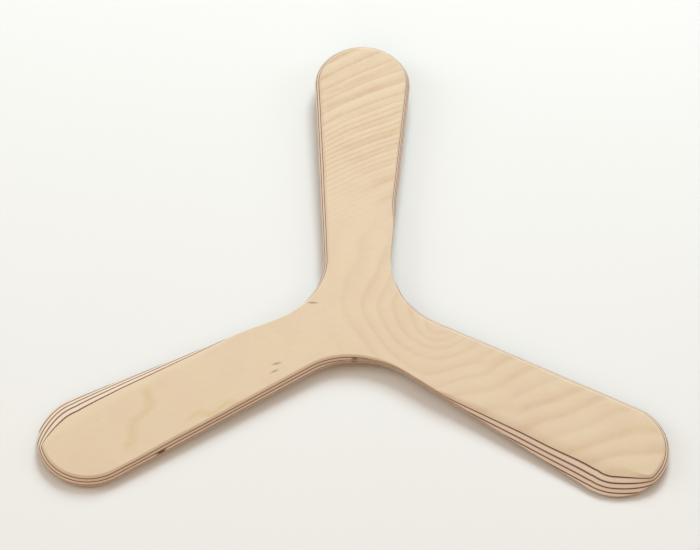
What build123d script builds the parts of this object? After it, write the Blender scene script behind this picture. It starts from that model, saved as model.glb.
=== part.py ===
from build123d import *
import math
import os

# Three-bladed boomerang cut and shaped from one sheet of five-ply birch plywood.
#
# Five veneers are glued face to face with four dark glue films. The sheet is sawn to a
# three-armed outline and its upper edges are then shaved, so that every layer has its own
# outline and the glue films show on the shaved edges as dark contour lines.
#
# Frame: millimetres, +Z up, origin on the underside at the hub centre. One arm, the
# stern arm, points along +Y and the two wing arms follow at 120 degrees to each side of
# it. Seen from above the boomerang spins counter-clockwise, so the leading side of each
# arm is the one on the left when looking outward from the hub.

# ---- plywood sheet ----
VENEER_THICKNESS = 0.70      # one birch veneer
FILM_THICKNESS = 0.125       # one glue film
VENEER_COUNT = 5

# ---- outline of the arms, measured from the hub centre ----
ARM_REACH = 150.0            # hub centre to the end of the tip
STERN_TIP_RADIUS = 21.75     # round tip of the stern arm
WING_TIP_RADIUS = 22.3       # round tip of the two wing arms
LEADING_TAPER = 3.95         # degrees between an arm's axis and its leading side
STERN_TRAILING_TAPER = 4.40  # the same for the trailing sides
WING_TRAILING_TAPER = 4.95
CROTCH_RADIUS = 35.0         # concave fillet between neighbouring arms

# ---- shaved edges: how far in they reach, how deep they cut, how hollow they run ----
# A roundness of 1 is a straight chamfer, 0.5 a parabola that leaves the face level.
LEADING_WIDTH = 2.8
LEADING_DEPTH = 2.2
LEADING_ROUNDNESS = 0.85
WING_BEVEL_WIDTH = 14.5      # long trailing bevel of the two wing arms, at its tip end
WING_BEVEL_DEPTH = 3.85
WING_BEVEL_ROUNDNESS = 0.5
WING_BEVEL_START = 50.0      # distance from the hub centre where it begins
WING_BEVEL_WIDENING = 0.75   # powers of the share of its length, 1 would be even growth
WING_BEVEL_DEEPENING = 0.58
STERN_BEVEL_WIDTH = 2.4      # short trailing bevel of the stern arm
STERN_BEVEL_DEPTH = 3.2
STERN_BEVEL_ROUNDNESS = 0.8
STERN_BEVEL_START = 42.0
STERN_BEVEL_FULL = 62.0      # distance from the hub centre where it is full
TIP_BLEND_FROM = -62.0       # degrees round the tip, 0 at its end, trailing side negative
TIP_BLEND_TO = -16.0
UNDERSIDE_SOFTENING = 0.25   # sanded lower rim

# ---- where outlines are taken ----
TRAILING_STATIONS = 22
TIP_STATIONS = 27
LEADING_STATIONS = 14
CROTCH_STATIONS = 7
FACE_LEVELS = (0.0, 0.35, 0.65, 0.88, 1.0)    # shares of the face veneer's thickness

FILM_COUNT = VENEER_COUNT - 1
SHEET_THICKNESS = VENEER_COUNT * VENEER_THICKNESS + FILM_COUNT * FILM_THICKNESS
STERN_ANGLE = 90.0
ARM_ANGLES = (-30.0, STERN_ANGLE, 210.0)

VENEER_NAMES = (
    "back_veneer",
    "lower_crossband",
    "core_veneer",
    "upper_crossband",
    "face_veneer",
)
FILM_NAMES = ("glue_film_4", "glue_film_3", "glue_film_2", "glue_film_1")


def smooth_step(value, low, high):
    """0 below low, 1 above high, and an S-curve between them."""
    share = min(max((value - low) / (high - low), 0.0), 1.0)
    return share * share * (3.0 - 2.0 * share)


def direction(degrees):
    """Unit vector in the sheet's plane."""
    return Vector(math.cos(math.radians(degrees)), math.sin(math.radians(degrees)))


def tip_radius(arm):
    """Radius of an arm's round tip."""
    return STERN_TIP_RADIUS if arm == STERN_ANGLE else WING_TIP_RADIUS


def tip_centre(arm):
    """Centre of an arm's round tip."""
    return direction(arm) * (ARM_REACH - tip_radius(arm))


def trailing_taper(arm):
    """Degrees between an arm's axis and its trailing side."""
    return STERN_TRAILING_TAPER if arm == STERN_ANGLE else WING_TRAILING_TAPER


def leading_normal(arm):
    """Outward normal of an arm's straight leading side."""
    return direction(arm + 90 + LEADING_TAPER)


def trailing_normal(arm):
    """Outward normal of an arm's straight trailing side."""
    return direction(arm - 90 - trailing_taper(arm))


def crotch_centre(arm):
    """Centre of the fillet between an arm's leading side and the next arm's trailing side."""
    neighbour = arm + 120
    side_a = leading_normal(arm)
    side_b = trailing_normal(neighbour)
    # The fillet centre stands one crotch radius outside both straight sides.
    reach_a = side_a.dot(tip_centre(arm)) + tip_radius(arm) + CROTCH_RADIUS
    reach_b = side_b.dot(tip_centre(neighbour)) + tip_radius(neighbour) + CROTCH_RADIUS
    cross = side_a.X * side_b.Y - side_a.Y * side_b.X
    return Vector(
        (reach_a * side_b.Y - reach_b * side_a.Y) / cross,
        (reach_b * side_a.X - reach_a * side_b.X) / cross,
    )


def trailing_cut(along, arm):
    """Width, depth and roundness of the trailing bevel at a distance from the hub centre."""
    if arm == STERN_ANGLE:
        share = smooth_step(along, STERN_BEVEL_START, STERN_BEVEL_FULL)
        return STERN_BEVEL_WIDTH * share, STERN_BEVEL_DEPTH * share, STERN_BEVEL_ROUNDNESS
    span = ARM_REACH - WING_TIP_RADIUS - WING_BEVEL_START
    share = min(max((along - WING_BEVEL_START) / span, 0.0), 1.0)
    width = WING_BEVEL_WIDTH * share**WING_BEVEL_WIDENING
    depth = WING_BEVEL_DEPTH * share**WING_BEVEL_DEEPENING
    return width, depth, WING_BEVEL_ROUNDNESS


def trailing_stations(arm):
    """Points up the trailing side, with outward normal, cut width, depth and roundness."""
    normal = trailing_normal(arm)
    root_end = crotch_centre(arm - 120) - normal * CROTCH_RADIUS
    tip_end = tip_centre(arm) + normal * tip_radius(arm)
    stations = []
    for index in range(TRAILING_STATIONS):
        point = root_end + (tip_end - root_end) * (index / TRAILING_STATIONS)
        stations.append((point, normal, *trailing_cut(point.dot(direction(arm)), arm)))
    return stations


def tip_stations(arm):
    """Points round the tip, where the trailing bevel runs out into the leading one."""
    bevel = trailing_cut(ARM_REACH - tip_radius(arm), arm)
    leading = (LEADING_WIDTH, LEADING_DEPTH, LEADING_ROUNDNESS)
    first = -90 - trailing_taper(arm)
    last = 90 + LEADING_TAPER
    stations = []
    for index in range(TIP_STATIONS):
        angle = first + (last - first) * index / TIP_STATIONS
        share = (angle - TIP_BLEND_FROM) / (TIP_BLEND_TO - TIP_BLEND_FROM)
        share = min(max(share, 0.0), 1.0) ** 1.6
        cut = [start + (end - start) * share for start, end in zip(bevel, leading)]
        normal = direction(arm + angle)
        stations.append((tip_centre(arm) + normal * tip_radius(arm), normal, *cut))
    return stations


def leading_stations(arm):
    """Points back down the leading side, which has an even shaved edge."""
    normal = leading_normal(arm)
    tip_end = tip_centre(arm) + normal * tip_radius(arm)
    root_end = crotch_centre(arm) - normal * CROTCH_RADIUS
    stations = []
    for index in range(LEADING_STATIONS):
        point = tip_end + (root_end - tip_end) * (index / LEADING_STATIONS)
        stations.append((point, normal, LEADING_WIDTH, LEADING_DEPTH, LEADING_ROUNDNESS))
    return stations


def crotch_stations(arm):
    """Points round the crotch fillet, where the leading edge's cut fades away."""
    first = arm + 90 + LEADING_TAPER
    last = arm + 30 - trailing_taper(arm + 120)
    stations = []
    for index in range(CROTCH_STATIONS):
        share = index / CROTCH_STATIONS
        normal = direction(first + (last - first) * share)
        point = crotch_centre(arm) - normal * CROTCH_RADIUS
        fade = 1.0 - smooth_step(share, 0.0, 1.0)
        cut = (LEADING_WIDTH * fade, LEADING_DEPTH * fade, LEADING_ROUNDNESS)
        stations.append((point, normal, *cut))
    return stations


def rim_stations():
    """Every station round the whole boomerang, in counter-clockwise order."""
    rim = []
    for arm in ARM_ANGLES:
        rim += trailing_stations(arm)
        rim += tip_stations(arm)
        rim += leading_stations(arm)
        rim += crotch_stations(arm)
    return rim


def inset_at(height, width, depth, roundness):
    """How far the shaved edge stands inside the sawn outline at one height."""
    if height < UNDERSIDE_SOFTENING:
        return UNDERSIDE_SOFTENING - height
    if depth <= 0.0:
        return 0.0
    share = (height - (SHEET_THICKNESS - depth)) / depth
    share = min(max(share, 0.0), 1.0)
    return width * (1.0 - (1.0 - share) ** roundness)


def outline_at(height, rim):
    """Closed outline of the shaved boomerang at one height."""
    points = []
    for point, normal, width, depth, roundness in rim:
        inner = point - normal * inset_at(height, width, depth, roundness)
        points.append(Vector(inner.X, inner.Y, height))
    return Wire([Edge.make_spline(points, periodic=True)])


def layer(heights, rim):
    """One layer of the sheet, ruled between its outlines at the given heights."""
    return Solid.make_loft([outline_at(height, rim) for height in heights], ruled=True)


def layer_heights():
    """Name and heights of every layer, from the underside up."""
    layers = []
    base = 0.0
    for index, name in enumerate(VENEER_NAMES):
        top = base + VENEER_THICKNESS
        heights = [base, top]
        if name == "back_veneer":
            heights = [base, UNDERSIDE_SOFTENING, top]
        if name == "face_veneer":
            heights = [base + share * VENEER_THICKNESS for share in FACE_LEVELS]
        layers.append((name, heights))
        if index < FILM_COUNT:
            layers.append((FILM_NAMES[index], [top, top + FILM_THICKNESS]))
        base = top + FILM_THICKNESS
    return layers


def main():
    os.makedirs("parts", exist_ok=True)
    rim = rim_stations()
    for name, heights in layer_heights():
        solid = layer(heights, rim)
        solid.label = name
        export_step(solid, f"parts/{name}.step")
        size = solid.bounding_box().size
        print(name, "valid", solid.is_valid, "volume", round(solid.volume, 1), size)


main()
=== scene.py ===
"""Three-bladed boomerang of five-ply birch plywood, sawn and shaved by hand.

The sheet is five veneers and four glue films. Every layer is built here as its own closed
mesh from one law of the shaved edge, so that neighbouring layers meet exactly, and each
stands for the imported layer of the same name. Lengths inside the classes are millimetres.
"""
from __future__ import annotations

import logging
import math
from dataclasses import dataclass, field
from enum import Enum
from typing import Iterable, Mapping, Sequence

import bmesh
import bpy
from mathutils import Matrix, Vector, noise


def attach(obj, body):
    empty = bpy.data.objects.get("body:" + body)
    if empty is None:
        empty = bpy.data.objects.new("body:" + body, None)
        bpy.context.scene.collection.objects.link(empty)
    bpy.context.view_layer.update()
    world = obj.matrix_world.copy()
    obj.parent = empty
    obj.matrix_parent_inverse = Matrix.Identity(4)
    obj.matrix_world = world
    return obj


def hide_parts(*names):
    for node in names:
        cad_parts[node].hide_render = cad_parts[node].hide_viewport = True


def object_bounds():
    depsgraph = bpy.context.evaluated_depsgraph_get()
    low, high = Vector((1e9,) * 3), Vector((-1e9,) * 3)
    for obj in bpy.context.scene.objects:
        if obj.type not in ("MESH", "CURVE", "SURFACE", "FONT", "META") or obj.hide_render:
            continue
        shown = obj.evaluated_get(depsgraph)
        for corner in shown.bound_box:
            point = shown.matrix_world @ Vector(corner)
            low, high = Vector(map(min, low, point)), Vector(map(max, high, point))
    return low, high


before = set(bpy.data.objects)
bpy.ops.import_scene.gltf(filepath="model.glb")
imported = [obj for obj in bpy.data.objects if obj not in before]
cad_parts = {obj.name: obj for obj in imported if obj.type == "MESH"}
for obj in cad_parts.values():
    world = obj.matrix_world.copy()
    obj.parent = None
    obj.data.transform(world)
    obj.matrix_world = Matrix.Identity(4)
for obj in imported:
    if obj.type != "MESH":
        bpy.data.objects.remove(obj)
CAD_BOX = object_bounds()

LOG = logging.getLogger("boomerang")
MM = 0.001
VENEER_THICKNESS = 0.70     # millimetres
FILM_THICKNESS = 0.125
VENEER_COUNT = 5
FILM_COUNT = VENEER_COUNT - 1
Colour = tuple[float, float, float]


class Arm(Enum):
    """The three arms, by the angle of their axis in degrees."""

    RIGHT_WING = -30.0
    STERN = 90.0
    LEFT_WING = 210.0


class Ply(Enum):
    """What a layer of the sheet is made of and how its grain lies."""

    FACE = "face_birch"
    CROSS = "cross_birch"
    CORE = "core_birch"
    BACK = "back_birch"
    GLUE = "glue_film"


# --------------------------------------------------------------------------------------
# Shader building
# --------------------------------------------------------------------------------------


class Signal:
    """A number that varies over a surface, used in ordinary arithmetic."""

    def __init__(self, board: "Board", socket: bpy.types.NodeSocket) -> None:
        """Wrap a socket.

        Args:
            board: The board whose nodes the arithmetic is added to.
            socket: The output socket that carries the number.
        """
        self.board = board
        self.socket = socket

    def _math(self, operation: str, *terms: "Signal | float") -> "Signal":
        """Add one Math node over the given terms."""
        return self.board.signal("ShaderNodeMath", {"operation": operation}, dict(enumerate(terms)))

    def __add__(self, other: "Signal | float") -> "Signal":
        """Sum."""
        return self._math("ADD", self, other)

    __radd__ = __add__

    def __sub__(self, other: "Signal | float") -> "Signal":
        """Difference."""
        return self._math("SUBTRACT", self, other)

    def __rsub__(self, other: float) -> "Signal":
        """Difference from a plain number."""
        return self._math("SUBTRACT", other, self)

    def __mul__(self, other: "Signal | float") -> "Signal":
        """Product."""
        return self._math("MULTIPLY", self, other)

    __rmul__ = __mul__

    def __truediv__(self, other: "Signal | float") -> "Signal":
        """Quotient."""
        return self._math("DIVIDE", self, other)

    def __pow__(self, power: float) -> "Signal":
        """Power."""
        return self._math("POWER", self, power)

    def fraction(self) -> "Signal":
        """Part after the decimal point, also rising through negative numbers."""
        return self._math("FRACT", self)

    def root(self) -> "Signal":
        """Square root."""
        return self._math("SQRT", self)

    def sine(self) -> "Signal":
        """Sine of radians."""
        return self._math("SINE", self)

    def size(self) -> "Signal":
        """Absolute value."""
        return self._math("ABSOLUTE", self)

    def least(self, other: "Signal | float") -> "Signal":
        """Smaller of two."""
        return self._math("MINIMUM", self, other)

    def most(self, other: "Signal | float") -> "Signal":
        """Larger of two."""
        return self._math("MAXIMUM", self, other)

    def rise(self, low: float, high: float) -> "Signal":
        """Smooth step from 0 at low to 1 at high.

        Args:
            low: Value where the step starts.
            high: Value where it ends, which may be below low for a falling step.

        Returns:
            The stepped number.
        """
        settings = {"interpolation_type": "SMOOTHSTEP"}
        if high > low:
            return self.board.signal("ShaderNodeMapRange", settings, {0: self, 1: low, 2: high})
        return 1.0 - self.board.signal("ShaderNodeMapRange", settings, {0: self, 1: high, 2: low})

    def bell(self, centre: float, reach: float) -> "Signal":
        """1 at a centre, falling smoothly to 0 one reach away on both sides."""
        return (self - centre).size().rise(reach, 0.0)


class Board:
    """The node tree of one material."""

    def __init__(self, name: str) -> None:
        """Start a material with an empty tree.

        Args:
            name: The material's name.
        """
        self.material = bpy.data.materials.new(name)
        self.material.use_nodes = True
        self.tree = self.material.node_tree
        self.tree.nodes.clear()

    def place(
        self,
        kind: str,
        settings: Mapping[str, object] | None = None,
        inputs: Mapping[str | int, object] | None = None,
    ) -> bpy.types.Node:
        """Add a node.

        Args:
            kind: The node's type.
            settings: Properties that are set first.
            inputs: Values, signals or sockets for its inputs, by name or index.

        Returns:
            The node.
        """
        node = self.tree.nodes.new(kind)
        for key, value in (settings or {}).items():
            setattr(node, key, value)
        for key, value in (inputs or {}).items():
            socket = node.inputs[key]
            if isinstance(value, Signal):
                value = value.socket
            if isinstance(value, bpy.types.NodeSocket):
                self.tree.links.new(value, socket)
            else:
                socket.default_value = value
        return node

    def signal(
        self,
        kind: str,
        settings: Mapping[str, object] | None = None,
        inputs: Mapping[str | int, object] | None = None,
    ) -> Signal:
        """Add a node and wrap its first output as a number."""
        return Signal(self, self.place(kind, settings, inputs).outputs[0])

    def position(self) -> tuple[bpy.types.NodeSocket, Signal, Signal, Signal]:
        """Place on the object, in millimetres.

        Returns:
            The place as a vector socket, then its three coordinates.
        """
        coordinates = self.place("ShaderNodeTexCoord").outputs["Object"]
        scaled = self.place(
            "ShaderNodeVectorMath", {"operation": "SCALE"}, {0: coordinates, "Scale": 1.0 / MM}
        ).outputs[0]
        parts = self.place("ShaderNodeSeparateXYZ", None, {0: scaled}).outputs
        return scaled, Signal(self, parts[0]), Signal(self, parts[1]), Signal(self, parts[2])

    def turned(
        self, vector: bpy.types.NodeSocket, degrees: float, scale: tuple[float, float, float]
    ) -> bpy.types.NodeSocket:
        """Turn a place about +Z and stretch it, for patterns that follow the grain.

        Args:
            vector: The place.
            degrees: Direction in the sheet that becomes the pattern's first axis.
            scale: Pattern units to a millimetre along the three turned axes.

        Returns:
            The turned place.
        """
        turn = self.place(
            "ShaderNodeMapping",
            {"vector_type": "POINT"},
            {"Vector": vector, "Rotation": (0.0, 0.0, -math.radians(degrees))},
        ).outputs[0]
        return self.place(
            "ShaderNodeVectorMath", {"operation": "MULTIPLY"}, {0: turn, 1: scale}
        ).outputs[0]

    def noise(
        self, vector: bpy.types.NodeSocket, scale: float, detail: float = 2.0, rough: float = 0.5
    ) -> Signal:
        """Cloudy noise about 0.5.

        Args:
            vector: Where it is read.
            scale: Its frequency.
            detail: Its number of octaves.
            rough: How strong the finer octaves are.

        Returns:
            The noise.
        """
        inputs = {"Vector": vector, "Scale": scale, "Detail": detail, "Roughness": rough}
        return self.signal("ShaderNodeTexNoise", {"noise_dimensions": "3D"}, inputs)

    def blend(self, share: Signal | float, first: object, second: object) -> bpy.types.NodeSocket:
        """Mix two colours.

        Args:
            share: How much of the second shows.
            first: The first colour, as three numbers or a socket.
            second: The second colour.

        Returns:
            The mixed colour.
        """
        settings = {"data_type": "RGBA", "blend_type": "MIX", "clamp_factor": True}
        colours = [(*c, 1.0) if isinstance(c, tuple) else c for c in (first, second)]
        node = self.place("ShaderNodeMix", settings, {0: share, 6: colours[0], 7: colours[1]})
        return node.outputs[2]

    def bump(self, height: Signal, depth: float) -> bpy.types.NodeSocket:
        """Turn a height from 0 to 1 into a normal.

        Args:
            height: The height.
            depth: How deep 1 is, in millimetres.

        Returns:
            The normal.
        """
        inputs = {"Strength": 1.0, "Distance": depth * MM, "Height": height}
        return self.place("ShaderNodeBump", None, inputs).outputs[0]

    def finish(self, **inputs: object) -> bpy.types.Material:
        """Close the tree with a Principled shader.

        Args:
            **inputs: Its sockets, by name with underscores for spaces.

        Returns:
            The finished material.
        """
        named = {key.replace("_", " "): value for key, value in inputs.items()}
        shader = self.place("ShaderNodeBsdfPrincipled", None, named)
        self.place("ShaderNodeOutputMaterial", None, {"Surface": shader.outputs[0]})
        return self.material


# --------------------------------------------------------------------------------------
# Finishes
# --------------------------------------------------------------------------------------


def glue_levels() -> list[float]:
    """Find the glue films in the thickness of the sheet.

    Returns:
        Heights of the lower and the upper side of every film, from the underside up.
    """
    pitch = VENEER_THICKNESS + FILM_THICKNESS
    lower = [index * pitch + VENEER_THICKNESS for index in range(FILM_COUNT)]
    return [level for base in lower for level in (base, base + FILM_THICKNESS)]


@dataclass(frozen=True)
class Flaw:
    """A small hole where a knot or split in an inner veneer shows on the edge, with painted shade
    over it.
    """

    layer: str
    ply: Ply
    place: tuple[float, float]
    length: float
    depth: float
    stain_and_shade: float                # how far round the hole the painted shade reaches


@dataclass(frozen=True)
class BirchFinish:
    """Bare, fine-sanded rotary-cut birch veneer.

    The growth figure is four patches that run into each other: close parallel lines along
    the stern arm, nested loops at the hub, wavy bands on the right wing and two lone
    streaks on the plain left wing.
    """

    ply: Ply
    grain: float                                # direction of the grain in degrees
    flaws: tuple[Flaw, ...] = ()
    base: Colour = (0.675, 0.54, 0.385)
    band: Colour = (0.53, 0.36, 0.205)          # growth line
    streak: Colour = (0.60, 0.43, 0.22)
    rosy: Colour = (0.67, 0.51, 0.38)
    straw: Colour = (0.665, 0.54, 0.34)
    cut: Colour = (0.74, 0.585, 0.465)          # shaved through the veneer
    end_grain: Colour = (0.40, 0.27, 0.18)
    # dark bark flecks and glue stain, and also the painted shade in the flaws' holes
    fleck_and_shade: Colour = (0.16, 0.075, 0.04)
    roughness: float = 0.62
    stain_reach: float = 0.15                   # how far the glue stains the wood beside it
    # strength of the glue stain and of the painted shade over the flaws
    stain_and_shade_strength: float = 0.75
    # strength of the painted shade over each flaw's hole
    flaw_shade_strength: float = 2.4
    fibre_depth: float = 0.012                  # height of the sanded fibres

    @staticmethod
    def growth_line(phase: Signal, sharpness: float, edge: float = 0.12) -> Signal:
        """Dark line at every whole number, crisp on one side and fading on the other."""
        rest = phase.fraction()
        return (1.0 - rest) ** sharpness * rest.rise(0.0, edge)

    def stern_lines(self, x: Signal, y: Signal, sway: Signal) -> Signal:
        """Close parallel lines that rise to the right, wider apart toward the tip.

        Args:
            x: Place across the sheet.
            y: Place along the stern arm.
            sway: Slow wander about zero that bends the figure.

        Returns:
            Their strength from 0 to 1.
        """
        slope = 0.55
        curvature = 0.005
        turning = 110.5         # where the spacing changes
        close = 0.24            # mean lines to a millimetre
        widening = 0.105        # how much the spacing changes there
        level = y - x * slope + x * x * curvature + sway * 5.0 - turning
        phase = level * close - (level * level + 16.0).root() * widening
        fade = level.rise(-48.0, -22.0) * 0.75 + 0.25
        return self.growth_line(phase, 2.4) * y.rise(36.0, 54.0) * fade

    def hub_lines(self, x: Signal, y: Signal, sway: Signal) -> Signal:
        """Loops that hang round a point on the right wing's root, open at the top.

        Args:
            x: Place across the sheet.
            y: Place along the stern arm.
            sway: Slow wander about zero that bends the figure.

        Returns:
            Their strength from 0 to 1.
        """
        squeeze = 1.22          # the loops are flatter below their middle
        stretch = 0.42          # and drawn out above it
        across = x - 37.0
        up = y + 4.0
        down = up.least(0.0) * squeeze + up.most(0.0) * stretch
        reach = (across * across + down * down).root()
        phase = reach / (reach * 0.06 + 5.0) * 1.25 + sway * 3.2
        place = y.rise(54.0, 30.0) * x.rise(-22.0, 8.0) * (x + y * 0.55).rise(52.0, 36.0)
        return self.growth_line(1.0 - phase, 2.6, 0.3) * place * 0.8

    def wing_bands(self, x: Signal, y: Signal, sway: Signal) -> Signal:
        """Wavy slanting bands along the right wing.

        Args:
            x: Place across the sheet.
            y: Place along the stern arm.
            sway: Slow wander about zero that bends the figure.

        Returns:
            Their strength, a little over 1 at most.
        """
        slope = 0.52
        spacing = 9.3
        over = (x - 88.0).most(0.0)     # past here the bands curl up
        level = y - x * slope + over * over * 0.006 + sway * 13.0
        place = (x + y * 0.55).rise(34.0, 50.0)
        uneven = (level * 0.21 + 1.0).sine() * 0.3 + 0.85
        return self.growth_line(level / spacing + 0.35, 2.0, 0.4) * place * uneven * 1.3

    def wing_streaks(self, x: Signal, y: Signal, sway: Signal) -> Signal:
        """Two lone streaks on the left wing.

        Args:
            x: Place across the sheet.
            y: Place along the stern arm.
            sway: Slow wander about zero that bends the figure.

        Returns:
            Their strength from 0 to 1.
        """
        knee = y + 55.0         # the upright streak kinks here and the lying one starts
        bend = knee.rise(8.0, -8.0) * 6.0
        upright = (x + 87.5 + bend + (y * 0.42).sine() * 1.1 + sway * 3.0).bell(0.0, 4.2)
        upright = upright * y.bell(-55.0, 20.0).rise(0.0, 0.3)
        lying = (knee - (x + 70.0) * 0.42 + (x * 0.5).sine() * 1.3).bell(0.0, 3.2)
        return (upright + lying * x.bell(-58.0, 17.0).rise(0.0, 0.4)).least(1.0)

    def flecks(self, x: Signal, y: Signal) -> Signal:
        """Small brown bark flecks beside the hub.

        Args:
            x: Place across the sheet.
            y: Place along the stern arm.

        Returns:
            Their strength from 0 to 1.
        """
        dash = x.bell(-19.0, 3.4) * (y - 5.3).bell(0.0, 0.75)
        pair = (x + 33.5).bell(0.0, 2.9) * (y + 26.3 - (x + 33.5) * 0.3).bell(0.0, 1.0)
        pair = pair + (x + 34.3).bell(0.0, 2.6) * (y + 30.2 - (x + 34.3) * 0.5).bell(0.0, 0.9)
        return (dash * 0.75 + pair * 0.6).least(1.0)

    def material(self) -> bpy.types.Material:
        """Build the finish.

        Returns:
            The material.
        """
        board = Board(self.ply.value)
        place, x, y, z = board.position()
        sway = board.noise(place, 0.028, 1.5, 0.4) - 0.5
        clouds = board.noise(place, 0.075, 3.0, 0.6)
        fibre = board.noise(board.turned(place, self.grain, (0.22, 3.4, 3.4)), 1.0, 3.0, 0.65)
        strand = board.noise(board.turned(place, self.grain, (0.05, 0.9, 0.9)), 1.0, 3.0, 0.6)
        pores = board.noise(board.turned(place, self.grain, (0.9, 7.5, 7.5)), 1.0, 1.0, 0.5)
        pores = pores.rise(0.66, 0.76)

        lines = (
            self.stern_lines(x, y, sway)
            + self.hub_lines(x, y, sway)
            + self.wing_bands(x, y, sway)
        ).least(1.0)
        streaks = self.wing_streaks(x, y, sway)
        mottle = board.noise(place, 0.35, 2.0, 0.5)
        patchy = 0.55 + 0.9 * (clouds - 0.25).most(0.0)
        tone = board.blend(clouds.rise(0.42, 0.68) * 0.75, self.base, self.rosy)
        tone = board.blend(strand.rise(0.5, 0.75) * 0.6, tone, self.straw)
        tone = board.blend(lines * patchy, tone, self.band)
        tone = board.blend(streaks * 0.5, tone, self.streak)
        tone = board.blend(mottle.rise(0.5, 0.8) * 0.4, tone, self.rosy)
        tone = board.blend(mottle.rise(0.5, 0.2) * 0.4, tone, self.straw)
        tone = board.blend(fibre.rise(0.35, 0.75) * 0.16, tone, self.band)
        tone = board.blend(pores * 0.25, tone, self.end_grain)

        # Where the plane has cut through the veneer its inner wood shows, darker on the
        # sides that meet the grain end on, and stained beside the glue. Over the flaws' holes the
        # same dark colour is painted shade.
        normal = board.place("ShaderNodeNewGeometry").outputs["Normal"]
        along = Vector((math.cos(math.radians(self.grain)), math.sin(math.radians(self.grain)), 0))
        facing = board.place(
            "ShaderNodeVectorMath", {"operation": "DOT_PRODUCT"}, {0: normal, 1: along}
        ).outputs["Value"]
        upward = Signal(board, board.place("ShaderNodeSeparateXYZ", None, {0: normal}).outputs[2])
        steep = 1.0 - upward.size()
        end_on = Signal(board, facing)
        end_on = (end_on * end_on).rise(0.1, 0.95)
        ticks = board.noise(place, 2.4, 2.0, 0.6)
        wall = board.blend(end_on * 0.55 + ticks.rise(0.45, 0.75) * 0.25, self.cut, self.end_grain)
        stain_and_shade: Signal | float = 0.0
        for level in glue_levels():
            stain_and_shade = stain_and_shade + z.bell(level, self.stain_reach)
        # Painted shade: each flaw's hole and a little round it is darkened toward the fleck colour,
        # standing in for the shade inside the hole.
        for flaw in self.flaws:
            spot = x.bell(flaw.place[0], flaw.stain_and_shade) * y.bell(flaw.place[1], flaw.stain_and_shade)
            stain_and_shade = stain_and_shade + spot * self.flaw_shade_strength
        wall = board.blend((stain_and_shade * self.stain_and_shade_strength).least(1.0), wall, self.fleck_and_shade)
        if self.ply is Ply.FACE:
            tone = board.blend(self.flecks(x, y) * z.rise(3.7, 3.9), tone, self.fleck_and_shade)
            shaved = steep.rise(0.02, 0.3) * 0.85
        elif self.ply is Ply.BACK:
            shaved = z.rise(0.0, 0.06)
        else:
            shaved = 1.0
        tone = board.blend(shaved, tone, wall)

        height = fibre * 0.6 + strand * 0.25 - pores * 0.5 - lines * 0.15
        rough = self.roughness + (fibre - 0.5) * 0.12 - lines * 0.04
        return board.finish(
            Base_Color=tone,
            Roughness=rough,
            Normal=board.bump(height, self.fibre_depth),
            IOR=1.46,
        )


@dataclass(frozen=True)
class GlueFinish:
    """Dark cured resin, sanded flush and dusted with wood in places."""

    resin: Colour = (0.07, 0.024, 0.011)
    dusty: Colour = (0.15, 0.07, 0.045)
    roughness: float = 0.75

    def material(self) -> bpy.types.Material:
        """Build the finish.

        Returns:
            The material.
        """
        board = Board(Ply.GLUE.value)
        place, _, _, _ = board.position()
        dust = board.noise(place, 0.9, 3.0, 0.6)
        tone = board.blend(dust.rise(0.45, 0.75), self.resin, self.dusty)
        return board.finish(
            Base_Color=tone,
            Roughness=self.roughness + (dust - 0.5) * 0.2,
            Normal=board.bump(board.noise(place, 6.0, 2.0), 0.01),
            Specular_IOR_Level=0.15,
            IOR=1.55,
        )


@dataclass(frozen=True)
class PaperFinish:
    """Matt white paper that the object is set out on."""

    white: Colour = (0.775, 0.775, 0.775)
    shade: Colour = (0.765, 0.765, 0.765)

    def material(self) -> bpy.types.Material:
        """Build the finish.

        Returns:
            The material.
        """
        board = Board("white_paper")
        place, _, _, _ = board.position()
        tone = board.blend(board.noise(place, 0.01, 2.0), self.white, self.shade)
        return board.finish(Base_Color=tone, Roughness=0.9, IOR=1.3)


# --------------------------------------------------------------------------------------
# The shaved sheet
# --------------------------------------------------------------------------------------


@dataclass(frozen=True)
class Station:
    """One point of the sawn outline and how the edge is shaved there."""

    point: Vector
    normal: Vector
    width: float
    depth: float
    roundness: float


def step(value: float, low: float, high: float) -> float:
    """Smooth step from 0 at low to 1 at high."""
    share = min(max((value - low) / (high - low), 0.0), 1.0)
    return share * share * (3.0 - 2.0 * share)


def direction(degrees: float) -> Vector:
    """Unit vector in the sheet's plane."""
    return Vector((math.cos(math.radians(degrees)), math.sin(math.radians(degrees))))


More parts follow.
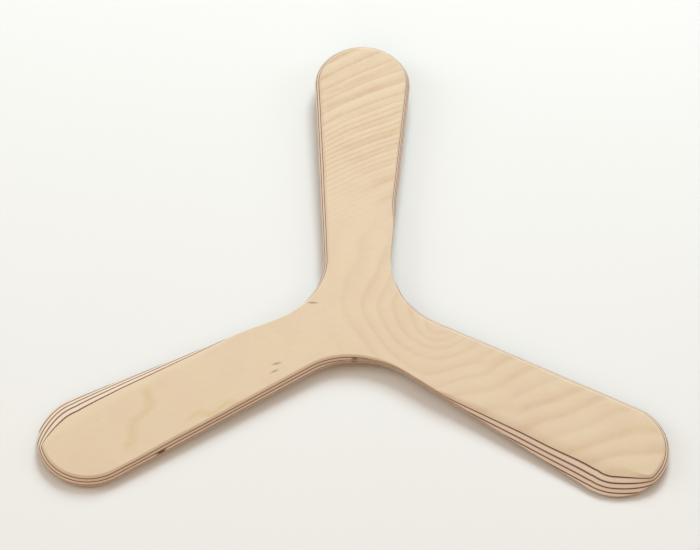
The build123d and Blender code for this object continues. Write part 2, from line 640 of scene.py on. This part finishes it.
@dataclass
class ShavedSheet:
    """The three-armed outline, its shaved edges and its layers."""

    veneer: float = VENEER_THICKNESS
    film: float = FILM_THICKNESS
    reach: float = 150.0                        # hub centre to the end of a tip
    stern_tip_radius: float = 21.75
    wing_tip_radius: float = 22.3
    leading_taper: float = 3.95
    stern_trailing_taper: float = 4.40
    wing_trailing_taper: float = 4.95
    crotch_radius: float = 35.0
    leading_cut: tuple[float, float, float] = (2.8, 2.2, 0.85)     # width, depth, roundness
    wing_cut: tuple[float, float, float] = (14.5, 3.85, 0.5)
    wing_start: float = 50.0
    wing_growth: tuple[float, float] = (0.75, 0.58)     # powers of the width's and depth's growth
    stern_cut: tuple[float, float, float] = (2.4, 3.2, 0.8)
    stern_start: float = 42.0
    stern_full: float = 62.0
    tip_blend: tuple[float, float] = (-62.0, -16.0)     # degrees round the tip
    tip_blend_power: float = 1.6
    rim_softening: float = 0.22                 # sanded lower rim
    face_softening: float = 0.132               # sanded upper rim
    least_cut: float = 0.01                     # a shallower cut leaves the edge as sawn
    hand_wander: float = 0.07                   # share by which the hand-shaved cut wanders
    wander_wave: float = 22.0
    wander_seed: float = 3.7
    trailing_count: int = 72
    tip_count: int = 72
    leading_count: int = 56
    crotch_count: int = 36
    flaws: tuple[Flaw, ...] = (
        Flaw("core_veneer", Ply.CORE, (-80.9, -69.0), 4.0, 0.9, 3.4),
        Flaw("lower_crossband", Ply.CROSS, (-0.2, -23.3), 2.6, 0.8, 2.0),
        Flaw("lower_crossband", Ply.CROSS, (-47.0, -53.0), 1.8, 0.6, 1.4),
    )
    stations: list[Station] = field(default_factory=list)

    def __post_init__(self) -> None:
        """Walk the whole rim once, counter-clockwise."""
        for arm in Arm:
            self.stations += self.trailing_side(arm)
            self.stations += self.tip(arm)
            self.stations += self.leading_side(arm)
            self.stations += self.crotch(arm)

    @property
    def thickness(self) -> float:
        """Thickness of the whole sheet."""
        return VENEER_COUNT * self.veneer + FILM_COUNT * self.film

    def tip_radius(self, angle: float) -> float:
        """Radius of the round tip of the arm at an angle."""
        return self.stern_tip_radius if angle == Arm.STERN.value else self.wing_tip_radius

    def trailing_taper(self, angle: float) -> float:
        """Degrees between the arm's axis and its trailing side."""
        return self.stern_trailing_taper if angle == Arm.STERN.value else self.wing_trailing_taper

    def tip_centre(self, angle: float) -> Vector:
        """Centre of the round tip."""
        return direction(angle) * (self.reach - self.tip_radius(angle))

    def crotch_centre(self, angle: float) -> Vector:
        """Centre of the fillet between this arm's leading side and the next arm's trailing one.

        Args:
            angle: Angle of this arm's axis in degrees.

        Returns:
            The centre, one fillet radius outside both straight sides.
        """
        following = angle + 120.0
        side_a = direction(angle + 90.0 + self.leading_taper)
        side_b = direction(following - 90.0 - self.trailing_taper(following))
        reach_a = side_a.dot(self.tip_centre(angle)) + self.tip_radius(angle) + self.crotch_radius
        reach_b = (
            side_b.dot(self.tip_centre(following)) + self.tip_radius(following) + self.crotch_radius
        )
        cross = side_a.x * side_b.y - side_a.y * side_b.x
        return Vector(
            (
                (reach_a * side_b.y - reach_b * side_a.y) / cross,
                (reach_b * side_a.x - reach_a * side_b.x) / cross,
            )
        )

    def wander(self, point: Vector) -> float:
        """Slow sway of the hand along the rim, about zero."""
        wave = self.wander_wave
        return noise.noise(Vector((point.x / wave, point.y / wave, self.wander_seed))) * 2.0

    def station(
        self, point: Vector, normal: Vector, cut: tuple[float, float, float], fade: float = 1.0
    ) -> Station:
        """Put a station on the rim, with the wander of a hand-held block plane.

        Args:
            point: Place on the sawn outline.
            normal: Outward normal of the outline there.
            cut: Width, depth and roundness of the shaved edge.
            fade: Share of the cut that is made.

        Returns:
            The station.
        """
        width, depth, roundness = cut
        swayed = 1.0 + self.hand_wander * self.wander(point)
        return Station(point, normal, width * swayed * fade, depth * fade, roundness)

    def trailing_cut(self, along: float, arm: Arm) -> tuple[float, float, float]:
        """Shape the trailing bevel at a distance from the hub.

        Args:
            along: Distance from the hub centre along the arm.
            arm: The arm.

        Returns:
            Its width, depth and roundness.
        """
        if arm is Arm.STERN:
            width, depth, roundness = self.stern_cut
            share = step(along, self.stern_start, self.stern_full)
            return width * share, depth * share, roundness
        width, depth, roundness = self.wing_cut
        share = (along - self.wing_start) / (self.reach - self.wing_tip_radius - self.wing_start)
        share = min(max(share, 0.0), 1.0)
        return width * share ** self.wing_growth[0], depth * share ** self.wing_growth[1], roundness

    def trailing_side(self, arm: Arm) -> Iterable[Station]:
        """Walk up the trailing side.

        Args:
            arm: The arm.

        Returns:
            Its stations from the crotch to the tip.
        """
        angle = arm.value
        normal = direction(angle - 90.0 - self.trailing_taper(angle))
        root = self.crotch_centre(angle - 120.0) - normal * self.crotch_radius
        tip = self.tip_centre(angle) + normal * self.tip_radius(angle)
        for index in range(self.trailing_count):
            point = root.lerp(tip, index / self.trailing_count)
            yield self.station(point, normal, self.trailing_cut(point.dot(direction(angle)), arm))

    def tip(self, arm: Arm) -> Iterable[Station]:
        """Walk round the tip, where the trailing bevel runs out into the leading one.

        Args:
            arm: The arm.

        Returns:
            Its stations from the trailing to the leading side.
        """
        angle = arm.value
        bevel = self.trailing_cut(self.reach - self.tip_radius(angle), arm)
        first = -90.0 - self.trailing_taper(angle)
        last = 90.0 + self.leading_taper
        for index in range(self.tip_count):
            turn = first + (last - first) * index / self.tip_count
            share = (turn - self.tip_blend[0]) / (self.tip_blend[1] - self.tip_blend[0])
            share = min(max(share, 0.0), 1.0) ** self.tip_blend_power
            cut = tuple(a + (b - a) * share for a, b in zip(bevel, self.leading_cut))
            normal = direction(angle + turn)
            yield self.station(
                self.tip_centre(angle) + normal * self.tip_radius(angle), normal, cut
            )

    def leading_side(self, arm: Arm) -> Iterable[Station]:
        """Walk back down the leading side, which has an even shaved edge.

        Args:
            arm: The arm.

        Returns:
            Its stations from the tip to the crotch.
        """
        angle = arm.value
        normal = direction(angle + 90.0 + self.leading_taper)
        tip = self.tip_centre(angle) + normal * self.tip_radius(angle)
        root = self.crotch_centre(angle) - normal * self.crotch_radius
        for index in range(self.leading_count):
            yield self.station(tip.lerp(root, index / self.leading_count), normal, self.leading_cut)

    def crotch(self, arm: Arm) -> Iterable[Station]:
        """Walk round the crotch, where the leading edge's cut fades away.

        Args:
            arm: The arm.

        Returns:
            Its stations from this arm to the next.
        """
        angle = arm.value
        first = angle + 90.0 + self.leading_taper
        last = angle + 30.0 - self.trailing_taper(angle + 120.0)
        centre = self.crotch_centre(angle)
        for index in range(self.crotch_count):
            share = index / self.crotch_count
            normal = direction(first + (last - first) * share)
            point = centre - normal * self.crotch_radius
            yield self.station(point, normal, self.leading_cut, 1.0 - step(share, 0.0, 1.0))

    def inset(self, station: Station, height: float) -> float:
        """Measure how far the edge stands inside the sawn outline.

        Args:
            station: Place on the rim.
            height: Height above the underside.

        Returns:
            The distance inside.
        """
        soft = self.rim_softening
        if height < soft:
            return soft - math.sqrt(soft * soft - (soft - height) ** 2)
        inset = 0.0
        if station.depth > self.least_cut:
            share = (height - (self.thickness - station.depth)) / station.depth
            share = min(max(share, 0.0), 1.0)
            inset = station.width * (1.0 - (1.0 - share) ** station.roundness)
        top = self.face_softening
        over = height - (self.thickness - top)
        if over > 0.0:
            inset += top - math.sqrt(max(top * top - over * over, 0.0))
        return inset

    def hollow(self, layer: str, point: Vector, share: float) -> float:
        """Measure how deep a flaw is sunk in a layer's edge.

        Args:
            layer: The layer's name.
            point: Place on the sawn outline.
            share: Height in the layer as a share of its thickness.

        Returns:
            The depth, 0 away from every flaw.
        """
        total = 0.0
        for flaw in self.flaws:
            away = (point - Vector(flaw.place)).length / (flaw.length / 2.0)
            if flaw.layer == layer and away < 1.0:
                total += flaw.depth * (1.0 - away * away) * math.sin(math.pi * share)
        return total

    def ring(self, layer: str, height: float, share: float, extra: float = 0.0) -> list[Vector]:
        """Points of the outline at one height, in metres.

        Args:
            layer: The layer's name.
            height: Height above the underside.
            share: The same as a share of the layer's thickness.
            extra: How much further inside the points stand.

        Returns:
            One point to a station.
        """
        points = []
        for station in self.stations:
            inset = self.inset(station, height) + extra
            inset += self.hollow(layer, station.point, share)
            spot = station.point - station.normal * inset
            points.append(Vector((spot.x, spot.y, height)) * MM)
        return points


@dataclass
class Layer:
    """One veneer or glue film as a closed mesh."""

    name: str
    ply: Ply
    base: float
    height: float
    levels: Sequence[float]                     # shares of the height where a ring is taken
    is_top: bool = False
    is_bottom: bool = False
    crease: float = math.radians(28.0)          # sharper edges stay sharp
    cap_inset: float = 0.8                      # a ring on the flat face, inside its rim

    def build(self, sheet: ShavedSheet, material: bpy.types.Material) -> bpy.types.Object:
        """Raise the rim ring by ring, close it, and put it in the scene.

        Args:
            sheet: The sheet that the layer belongs to.
            material: The layer's finish.

        Returns:
            The finished piece.
        """
        shape = bmesh.new()
        bmesh.ops.create_circle(
            shape, cap_ends=False, segments=len(sheet.stations), radius=1.0
        )
        shape.verts.ensure_lookup_table()
        rings = [(share, 0.0) for share in self.levels]
        if self.is_top:
            rings.append((1.0, self.cap_inset))
        if self.is_bottom:
            rings.insert(0, (0.0, self.cap_inset))
        edges = list(shape.edges)
        verts = list(shape.verts)
        first = list(edges)
        for index, (share, extra) in enumerate(rings):
            if index:
                grown = bmesh.ops.extrude_edge_only(shape, edges=edges)["geom"]
                verts = [item for item in grown if isinstance(item, bmesh.types.BMVert)]
                edges = [item for item in grown if isinstance(item, bmesh.types.BMEdge)]
                rim = set(verts)
                edges = [edge for edge in edges if all(vert in rim for vert in edge.verts)]
            spots = sheet.ring(self.name, self.base + share * self.height, share, extra)
            for vert, spot in zip(verts, spots):
                vert.co = spot
        bmesh.ops.contextual_create(shape, geom=first)
        bmesh.ops.contextual_create(shape, geom=edges)
        bmesh.ops.recalc_face_normals(shape, faces=shape.faces)
        for face in shape.faces:
            face.smooth = True
        for edge in shape.edges:
            edge.smooth = len(edge.link_faces) == 2 and edge.calc_face_angle(0.0) < self.crease
        mesh = bpy.data.meshes.new(self.name + "_wood")
        shape.to_mesh(mesh)
        shape.free()
        mesh.materials.append(material)
        piece = bpy.data.objects.new(self.name + "_wood", mesh)
        bpy.context.scene.collection.objects.link(piece)
        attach(piece, "root")
        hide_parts(self.name)
        LOG.info("%s: %d faces, %s", piece.name, len(mesh.polygons), self.ply.value)
        return piece


@dataclass
class Boomerang:
    """The whole object, layer by layer."""

    sheet: ShavedSheet = field(default_factory=ShavedSheet)
    face_grain: float = 25.0                    # degrees, the crossbands lie square to it
    veneer_levels: tuple[float, ...] = (0.0, 0.2, 0.4, 0.6, 0.8, 1.0)
    face_levels: tuple[float, ...] = (0.0, 0.2, 0.4, 0.6, 0.75, 0.87, 0.94, 0.98, 0.995, 1.0)
    back_levels: tuple[float, ...] = (0.0, 0.02, 0.07, 0.15, 0.31, 0.65, 1.0)
    film_levels: tuple[float, ...] = (0.0, 0.5, 1.0)

    def layers(self) -> Iterable[Layer]:
        """Lay up the sheet.

        Returns:
            The nine layers from the underside up.
        """
        veneers = (
            ("back_veneer", Ply.BACK, self.back_levels),
            ("lower_crossband", Ply.CROSS, self.veneer_levels),
            ("core_veneer", Ply.CORE, self.veneer_levels),
            ("upper_crossband", Ply.CROSS, self.veneer_levels),
            ("face_veneer", Ply.FACE, self.face_levels),
        )
        base = 0.0
        for index, (name, ply, levels) in enumerate(veneers):
            is_top = index == FILM_COUNT
            is_bottom = index == 0
            yield Layer(name, ply, base, self.sheet.veneer, levels, is_top, is_bottom)
            base += self.sheet.veneer
            if not is_top:
                film = f"glue_film_{FILM_COUNT - index}"
                yield Layer(film, Ply.GLUE, base, self.sheet.film, self.film_levels)
                base += self.sheet.film

    def build(self) -> list[bpy.types.Object]:
        """Build and dress every layer.

        Returns:
            The pieces.
        """
        finishes = {}
        for ply in (Ply.FACE, Ply.CROSS, Ply.CORE, Ply.BACK):
            grain = self.face_grain + (90.0 if ply is Ply.CROSS else 0.0)
            flaws = tuple(flaw for flaw in self.sheet.flaws if flaw.ply is ply)
            finishes[ply] = BirchFinish(ply, grain, flaws).material()
        finishes[Ply.GLUE] = GlueFinish().material()
        return [layer.build(self.sheet, finishes[layer.ply]) for layer in self.layers()]


# --------------------------------------------------------------------------------------
# Studio
# --------------------------------------------------------------------------------------


@dataclass(frozen=True)
class SoftBox:
    """A rectangular soft light aimed at the object, in metres and watts."""

    name: str
    place: tuple[float, float, float]
    size: tuple[float, float]
    power: float
    colour: Colour
    target: tuple[float, float, float] = (0.0, 0.02, 0.0)

    def build(self) -> bpy.types.Object:
        """Hang the light.

        Returns:
            The light's object.
        """
        data = bpy.data.lights.new(self.name, "AREA")
        data.shape = "RECTANGLE"
        data.size, data.size_y = self.size
        data.energy = self.power
        data.color = self.colour
        lamp = bpy.data.objects.new(self.name, data)
        bpy.context.scene.collection.objects.link(lamp)
        lamp.location = self.place
        aim = Vector(self.target) - Vector(self.place)
        lamp.rotation_euler = aim.to_track_quat("-Z", "Y").to_euler()
        return lamp


@dataclass
class Studio:
    """White table, soft boxes with the strongest one behind, and the camera.

    The table stands a little under the board and slopes, so that the board's shadow is
    narrow at the wing tips and wider at the hub.
    """

    floor_slope: float = 1.6                    # degrees by which the table falls away behind
    floor_gap: float = 1.4                      # millimetres under the wing tips
    floor_side: float = 4.0                     # metres
    daylight: Colour = (0.80, 0.95, 1.0)
    lamplight: Colour = (1.0, 0.84, 0.66)
    world_colour: Colour = (1.0, 0.54, 0.24)
    world_strength: float = 0.30
    lens_width: float = 36.0
    focal: float = 140.52
    distance: float = 1.1992
    far_clip: float = 10.0
    azimuth: float = -1.5845
    elevation: float = 55.726
    roll: float = -0.27281
    target: tuple[float, float, float] = (-0.0032665, 0.022937, 0.0)

    def build_floor(self) -> bpy.types.Object:
        """Lay the white table.

        Returns:
            The floor's object.
        """
        shape = bmesh.new()
        bmesh.ops.create_grid(shape, x_segments=1, y_segments=1, size=self.floor_side / 2)
        lean = Matrix.Rotation(-math.radians(self.floor_slope), 3, "X")
        bmesh.ops.rotate(shape, verts=shape.verts, cent=(0.0, CAD_BOX[0][1], 0.0), matrix=lean)
        bmesh.ops.translate(shape, verts=shape.verts, vec=(0.0, 0.0, -self.floor_gap * MM))
        mesh = bpy.data.meshes.new("floor")
        shape.to_mesh(mesh)
        shape.free()
        mesh.materials.append(PaperFinish().material())
        floor = bpy.data.objects.new("floor", mesh)
        bpy.context.scene.collection.objects.link(floor)
        return floor

    def build_lights(self) -> None:
        """Hang the soft boxes and set the room's fill."""
        boxes = (
            SoftBox("box_behind", (0.22, 1.30, 0.95), (0.8, 0.7), 24.0, self.daylight),
            SoftBox("box_above", (0.0, 0.50, 1.70), (1.8, 1.8), 8.0, self.daylight),
            SoftBox("box_left", (-1.40, 0.25, 0.75), (0.9, 0.8), 8.0, self.daylight),
            SoftBox("box_right", (1.40, 0.25, 0.75), (0.9, 0.8), 5.0, self.daylight),
            SoftBox("box_front", (-0.30, -1.35, 0.90), (1.8, 1.0), 7.5, self.lamplight),
        )
        for box in boxes:
            box.build()
        world = bpy.data.worlds.new("room")
        bpy.context.scene.world = world
        world.use_nodes = True
        background = world.node_tree.nodes["Background"]
        background.inputs["Color"].default_value = (*self.world_colour, 1.0)
        background.inputs["Strength"].default_value = self.world_strength

    def build_camera(self) -> None:
        """Set the camera up in front of and above the object."""
        azimuth, elevation, roll = (
            math.radians(angle) for angle in (self.azimuth, self.elevation, self.roll)
        )
        ahead = Vector(
            (
                math.sin(azimuth) * math.cos(elevation),
                math.cos(azimuth) * math.cos(elevation),
                -math.sin(elevation),
            )
        )
        level = Vector((math.cos(azimuth), -math.sin(azimuth), 0.0))
        upright = level.cross(ahead)
        across = level * math.cos(roll) + upright * math.sin(roll)
        above = upright * math.cos(roll) - level * math.sin(roll)
        place = Matrix((across, above, -ahead)).transposed().to_4x4()
        place.translation = Vector(self.target) - ahead * self.distance
        data = bpy.data.cameras.new("camera")
        data.sensor_width = self.lens_width
        data.lens = self.focal
        data.clip_end = self.far_clip
        camera = bpy.data.objects.new("camera", data)
        bpy.context.scene.collection.objects.link(camera)
        camera.matrix_world = place
        bpy.context.scene.camera = camera

    def build(self) -> None:
        """Set up the whole studio."""
        self.build_floor()
        self.build_lights()
        self.build_camera()
        bpy.context.scene.view_settings.view_transform = "Standard"


def main() -> None:
    """Build the boomerang and its studio, and log how many packed nodes they stand for."""
    logging.basicConfig(level=logging.INFO, format="%(name)s: %(message)s")
    LOG.info("%d packed nodes to stand for", len(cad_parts))
    Studio().build()
    Boomerang().build()


if __name__ == "__main__":
    main()
